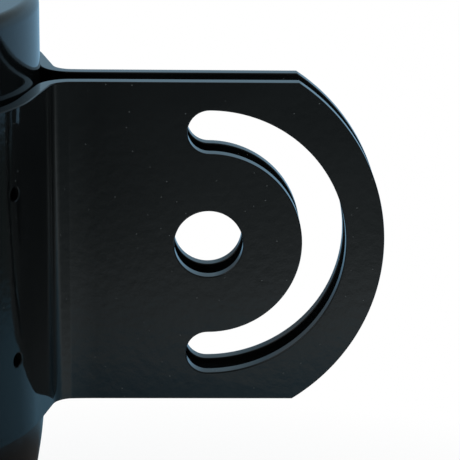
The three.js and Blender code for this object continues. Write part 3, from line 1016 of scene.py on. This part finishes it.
WINDOW = [
    (-60, (0.3, 0.31, 0.32)),
    (-15, (0.2, 0.22, 0.23)),
    (5, (0.3, 0.33, 0.35)),
    (18, (0.9, 0.96, 1.0)),
    (50, (0.9, 0.96, 1.0)),
    (70, (0.2, 0.22, 0.23)),
]

# Where one part of the room gives way to the next, in a reflection's X or Y.
AHEAD_RISE_Y = (-0.45, 0)
AHEAD_DIP_X = (0.1, 0.25)
AHEAD_LIT_X = (-0.06, 0.1)
BESIDE_Y = (0, 0.15)
BEHIND_LIT_X = (-0.32, -0.08)
BEHIND_Y = (0.38, 0.5)
WINDOW_X = (-0.25, -0.6)
HALF_TURN = 180                       # degrees, from straight down to straight up
AHEAD_RISE = 5.5 / HALF_TURN
AHEAD_DIP = 1.5 / HALF_TURN
AHEAD_DARKEST = 0.55
BEHIND_DARKEST = 0.3


def sky(graph, height, stops):
    """A ramp from straight down, where the height is 0, to straight up, where it is 1."""
    return graph.ramp(height, [(degrees / HALF_TURN + 0.5, colour) for degrees, colour in stops])


def studio_world():
    """White to the camera; to the paint, a blue backdrop behind, a dark room in front, a window left."""
    world = bpy.data.worlds.new("studio")
    world.use_nodes = True
    graph = Graph(world.node_tree)
    coordinates = graph.add("ShaderNodeTexCoord").outputs["Generated"]
    direction = graph.add("ShaderNodeSeparateXYZ", Vector=coordinates)
    across, depth = direction.outputs["X"], direction.outputs["Y"]
    elevation = graph.math("ARCSINE", direction.outputs["Z"])
    height = graph.spread(elevation, (-math.pi / 2, math.pi / 2))
    rise = graph.spread(depth, AHEAD_RISE_Y, (0, AHEAD_RISE))
    dip = graph.spread(across, AHEAD_DIP_X, (0, AHEAD_DIP))
    tilted = graph.math("ADD", graph.math("SUBTRACT", height, rise), dip)
    ahead_light = graph.spread(across, AHEAD_LIT_X, (AHEAD_DARKEST, 1))
    ahead = graph.mix(ahead_light, BLACK, sky(graph, tilted, AHEAD))
    front = graph.mix(graph.spread(depth, BESIDE_Y), ahead, sky(graph, height, BESIDE))
    behind_light = graph.spread(across, BEHIND_LIT_X, (BEHIND_DARKEST, 1))
    behind = graph.mix(behind_light, BLACK, sky(graph, height, BEHIND))
    studio = graph.mix(graph.spread(depth, BEHIND_Y), front, behind)
    studio = graph.mix(graph.spread(across, WINDOW_X), studio, sky(graph, height, WINDOW))
    to_camera = graph.add("ShaderNodeLightPath").outputs["Is Camera Ray"]
    colour = graph.mix(to_camera, studio, WHITE)
    background = graph.add("ShaderNodeBackground", Color=colour)
    graph.add("ShaderNodeOutputWorld", Surface=background.outputs["Background"])
    bpy.context.scene.world = world


def floor_material():
    """A pale floor that holds a soft shadow near the object and fades to plain white beyond."""
    material, graph, place = new_material("pale_floor")
    away = graph.add("ShaderNodeVectorMath", {"operation": "LENGTH"})
    graph.feed(away.inputs[0], place)
    fade = graph.spread(away.outputs["Value"], SHADOW_FADE)
    to_camera = graph.add("ShaderNodeLightPath").outputs["Is Camera Ray"]
    grain = graph.noise(place, FLOOR_GRAIN_SIZE, FLOOR_GRAIN_DETAIL)
    tone = graph.ramp(grain, list(zip(NOISE_RANGE, FLOOR_TONES)))
    matt = graph.add("ShaderNodeBsdfDiffuse", Color=tone).outputs["BSDF"]
    glow = graph.add("ShaderNodeEmission", Color=WHITE).outputs["Emission"]
    blend = graph.add("ShaderNodeMixShader", Fac=graph.math("MULTIPLY", fade, to_camera))
    graph.feed(blend.inputs[1], matt)
    graph.feed(blend.inputs[2], glow)
    graph.add("ShaderNodeOutputMaterial", Surface=blend.outputs["Shader"])
    return material


def floor():
    """A wide disc under the point's tip."""
    bm = bmesh.new()
    outline = arc(0, 0, FLOOR_RADIUS, 0, 2 * math.pi, FLOOR_SEGMENTS + 1)[:-1]
    bm.faces.new([bm.verts.new((x, y, 0)) for x, y in outline])
    mesh = bpy.data.meshes.new("floor")
    bm.to_mesh(mesh)
    bm.free()
    mesh.materials.append(floor_material())
    disc = bpy.data.objects.new("floor", mesh)
    disc.location.z = cad_box[0].z
    disc.visible_glossy = False
    bpy.context.scene.collection.objects.link(disc)


# The place, the width and the power of each soft light.
LIGHT_TARGET = Vector((0, 0, -0.2))
LIGHTS = {"key": ((-1.3, -0.9, 2.0), 1.4, 42), "fill": ((1.6, 1.2, 1.8), 1.6, 26)}


def soft_light(name, place, size, power):
    """A square area light that faces the object's middle."""
    data = bpy.data.lights.new(name, "AREA")
    data.size = size
    data.energy = power
    light = bpy.data.objects.new(name, data)
    light.location = place
    light.visible_glossy = False
    light.rotation_euler = (LIGHT_TARGET - Vector(place)).to_track_quat("-Z", "Y").to_euler()
    bpy.context.scene.collection.objects.link(light)


# ------------------------------------------------------------------ camera

CAMERA_PLACE = (0.086100, -0.485537, 0.097628)
CAMERA_LENS = 163.97
CAMERA_SENSOR = 36.0
CAMERA_NEAREST = 0.01
CAMERA_TURN = math.radians(-1.971)
CAMERA_TILT = math.radians(-17.753)
CAMERA_ROLL = math.radians(-0.805)


def camera():
    """A long lens just above the clamp, looking down at the ears."""
    data = bpy.data.cameras.new("camera")
    data.lens = CAMERA_LENS
    data.sensor_width = CAMERA_SENSOR
    data.clip_start = CAMERA_NEAREST
    eye = bpy.data.objects.new("camera", data)
    turn = Matrix.Rotation(CAMERA_TURN, 4, "Z") @ Matrix.Rotation(CAMERA_TILT, 4, "X")
    level = Matrix.Rotation(CAMERA_ROLL, 4, "Y") @ Matrix.Rotation(math.pi / 2, 4, "X")
    eye.matrix_world = Matrix.Translation(CAMERA_PLACE) @ turn @ level
    bpy.context.scene.collection.objects.link(eye)
    bpy.context.scene.camera = eye


# ------------------------------------------------------------------ assembly

# Each paint's colour, roughness and strength of orange peel.
HEAD_PAINT = ((0.0055, 0.0068, 0.0075), 0.07, 0.12)
CLAMP_PAINT = ((0.0062, 0.007, 0.0073), 0.06, 0.2)
SPIKE_PAINT = ((0.0075, 0.0072, 0.0066), 0.18, 0.3)


def build_object():
    """Every piece of the object."""
    head_paint = gloss_paint("head_paint", *HEAD_PAINT)
    clamp_paint = gloss_paint("clamp_paint", *CLAMP_PAINT)
    spike_paint = gloss_paint("spike_paint", *SPIKE_PAINT)
    zinc = zinc_plate()
    head(head_paint)
    cone(spike_paint)
    point(spike_paint)
    point_weld(spike_paint)
    for node, degrees in FIN_ANGLES.items():
        fin(node, degrees, spike_paint)
        fin_stitches(node, degrees, spike_paint)
    frame["nodes"]["joint_sleeve"].material_slots[0].material = bare_steel()
    clamp_half("rear_clamp_half", 1, clamp_paint)
    clamp_half("front_clamp_half", -1, clamp_paint)
    for place, height in {"upper": BOLT_HEIGHT, "lower": -BOLT_HEIGHT}.items():
        bolt("clamp_bolt_" + place, height, zinc)
        washer("bolt_washer_" + place, height, 1, zinc)
        washer("nut_washer_" + place, height, -1, zinc)
        spring_washer("spring_washer_" + place, height, zinc)
        nut("clamp_nut_" + place, height, zinc)


def build_studio():
    """Floor, surroundings, lights and camera."""
    floor()
    studio_world()
    for name, (place, size, power) in LIGHTS.items():
        soft_light(name, place, size, power)
    camera()
    bpy.context.scene.view_settings.view_transform = "Standard"


build_object()
build_studio()
